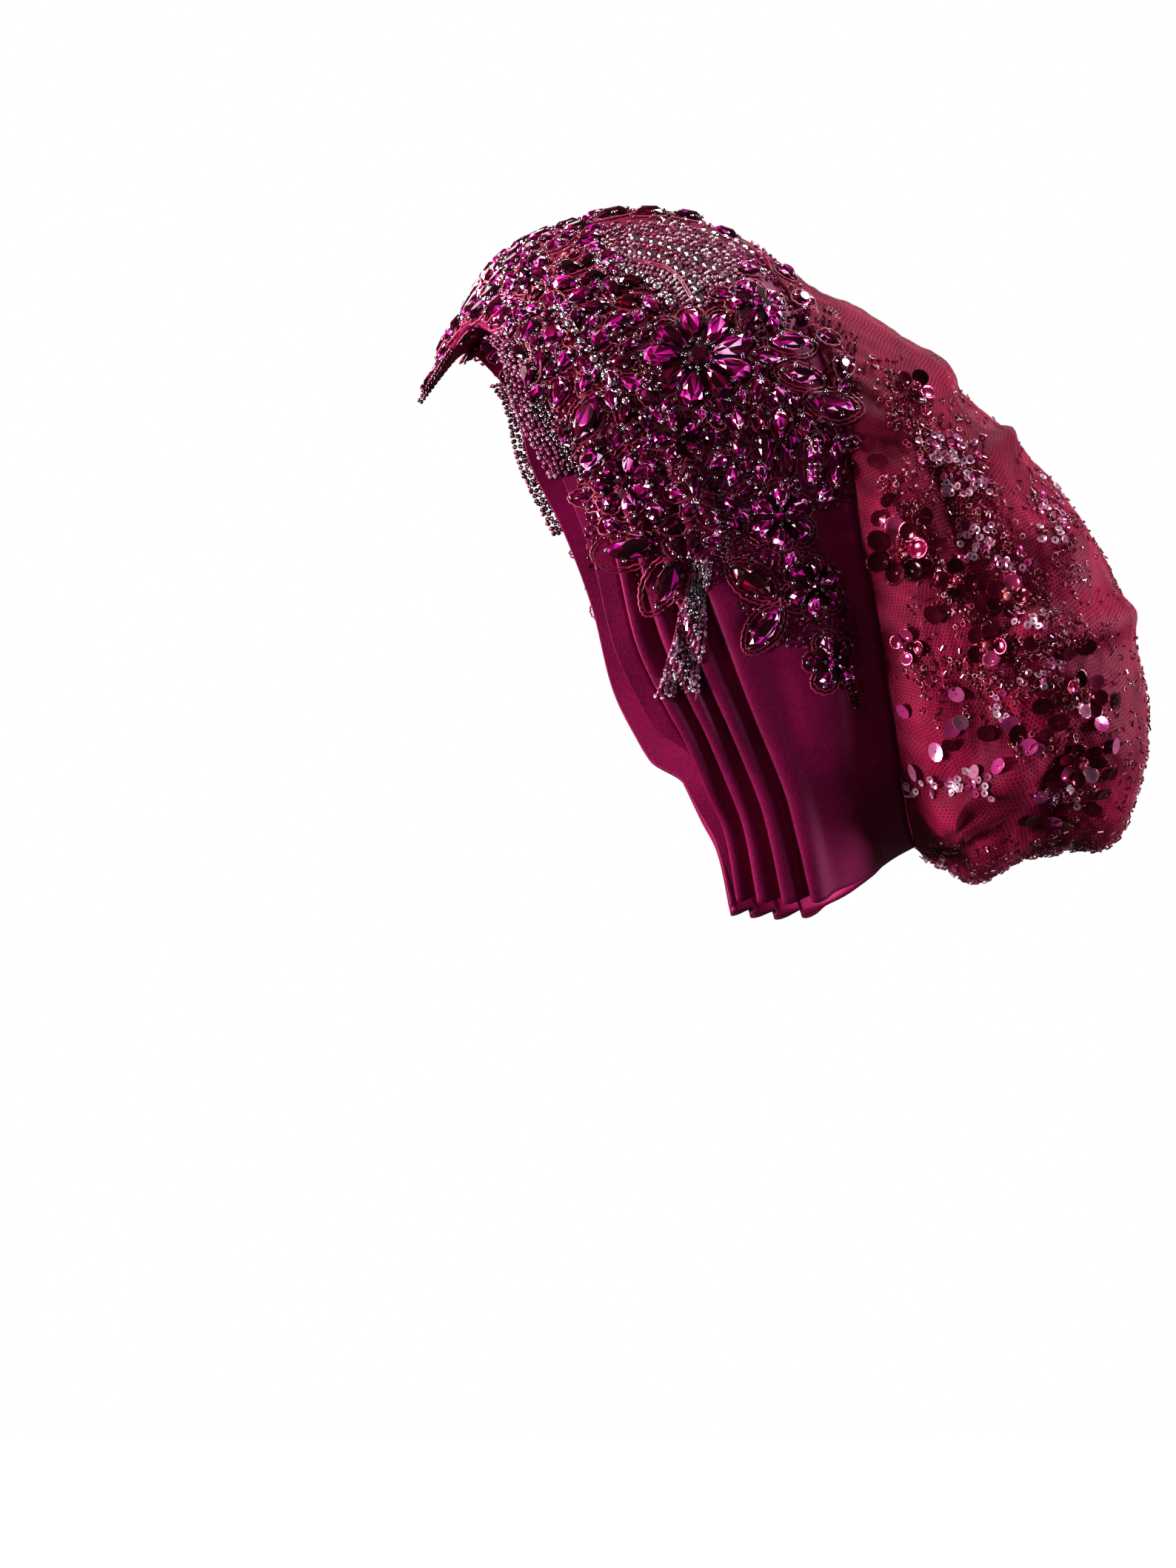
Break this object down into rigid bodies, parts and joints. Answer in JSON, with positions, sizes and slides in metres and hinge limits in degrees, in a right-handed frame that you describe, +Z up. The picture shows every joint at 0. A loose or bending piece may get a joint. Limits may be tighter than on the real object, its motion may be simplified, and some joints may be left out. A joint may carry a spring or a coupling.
{
  "type": "turban",
  "caption": "Slouchy turban with a pleated band, a full crown bag under net and a beaded applique of cut stones and sequins.",
  "frame": {"origin": "where the top of the head sits under the crown, on the middle line", "axes": "+Z up, the wearer faces -Y so the bag hangs towards +Y, and the wearer's left side is +X"},
  "size_m": [0.175, 0.2625, 0.2515],
  "materials": {
    "satin": "dark wine stretch satin with a dull sheen",
    "net": "raspberry mesh of fine hexagons",
    "cut_stone": "faceted magenta stone, clear gloss",
    "glass_beads": "lilac and gunmetal seed beads, glossy",
    "sequin": "deep red sequins with a metallic gloss"
  },
  "bodies": {
    "root": {"pleated_band": "satin", "crown_bag": "satin", "net_drape": "net", "applique_net": "net", "bead_edge_left": "glass_beads", "bead_edge_right": "glass_beads", "brow_point": "glass_beads", "bead_tassel_left": "glass_beads", "bead_tassel_right": "glass_beads", "flower_main_left": "cut_stone", "flower_main_right": "cut_stone", "flower_brow_left": "cut_stone", "flower_brow_right": "cut_stone", "flower_upper": "cut_stone", "flower_middle": "cut_stone", "flower_temple": "cut_stone", "flower_rear": "cut_stone", "flower_low": "cut_stone", "flower_tail": "cut_stone", "leaf_front_left": "cut_stone", "leaf_front_right": "cut_stone", "leaf_down_left": "cut_stone", "leaf_down_right": "cut_stone", "leaf_temple_left": "cut_stone", "leaf_temple_right": "cut_stone", "leaf_red": "cut_stone", "leaf_rear": "cut_stone", "leaf_fan_1": "cut_stone", "leaf_fan_2": "cut_stone", "leaf_fan_3": "cut_stone", "leaf_drop_1": "cut_stone", "leaf_drop_2": "cut_stone", "sequin_flower_a_left": "sequin", "sequin_flower_a_right": "sequin", "sequin_flower_b_left": "sequin", "sequin_flower_b_right": "sequin", "sequin_flower_c": "sequin", "sequin_flower_d_left": "sequin", "sequin_flower_d_right": "sequin", "sequin_flower_e": "sequin", "sequin_flower_f": "sequin", "sequin_flower_g_left": "sequin", "sequin_flower_g_right": "sequin", "sequin_flower_h": "sequin"}
  },
  "joints": []
}
